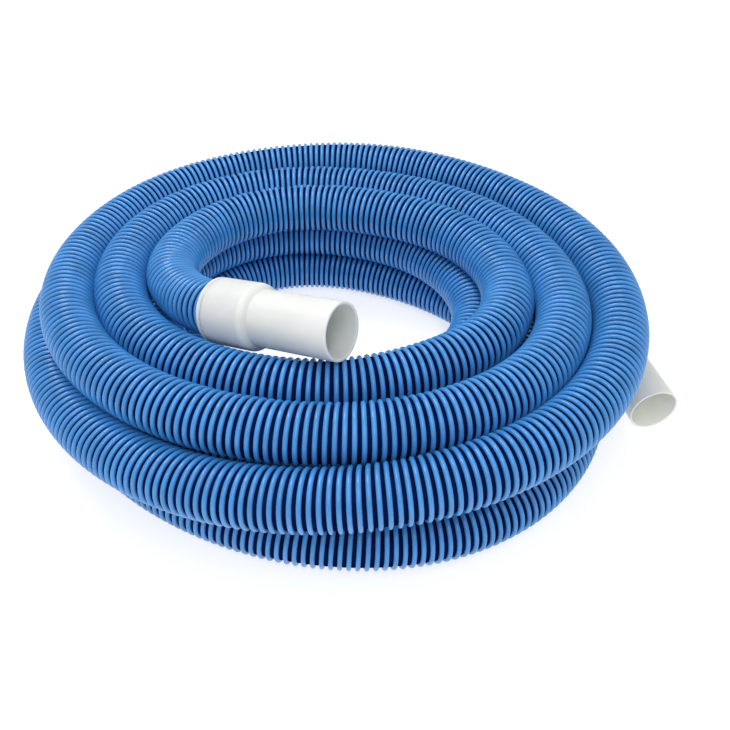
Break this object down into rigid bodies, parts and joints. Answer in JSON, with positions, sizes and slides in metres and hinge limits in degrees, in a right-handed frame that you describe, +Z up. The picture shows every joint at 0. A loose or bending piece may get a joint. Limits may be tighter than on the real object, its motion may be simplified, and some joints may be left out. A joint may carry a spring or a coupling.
{
  "type": "swimming pool vacuum hose",
  "caption": "Coiled spiral-ribbed suction hose with a swivelling push-on cuff at one end and a fixed push-on cuff at the other.",
  "frame": {"origin": "middle of the object's plan, on the surface that it lies on", "axes": "+Z up out of that surface; -Y towards the side that the swivel cuff's mouth is on; +X towards the fixed cuff"},
  "size_m": [0.5698, 0.4958, 0.1665],
  "materials": {
    "hose": "moulded blue spiral rib over a dark thin web, satin",
    "cuff": "satin off-white moulded plastic",
    "collar": "satin off-white moulded plastic",
    "seal": "matt black rubber"
  },
  "bodies": {
    "hose": {"hose_coil": "hose", "hose_near_lead": "hose", "hose_far_lead": "hose", "swivel_collar": "collar", "swivel_seal": "seal", "fixed_cuff": "cuff"},
    "swivel": {"swivel_cuff": "cuff", "swivel_retainer": "cuff"}
  },
  "joints": [
    {"name": "swivel_turn", "type": "hinge", "parent": "hose", "child": "swivel", "pos_m": [-0.06306, -0.09507, 0.12965], "axis": [0.8619, -0.4641, 0.2045], "continuous": true}
  ]
}
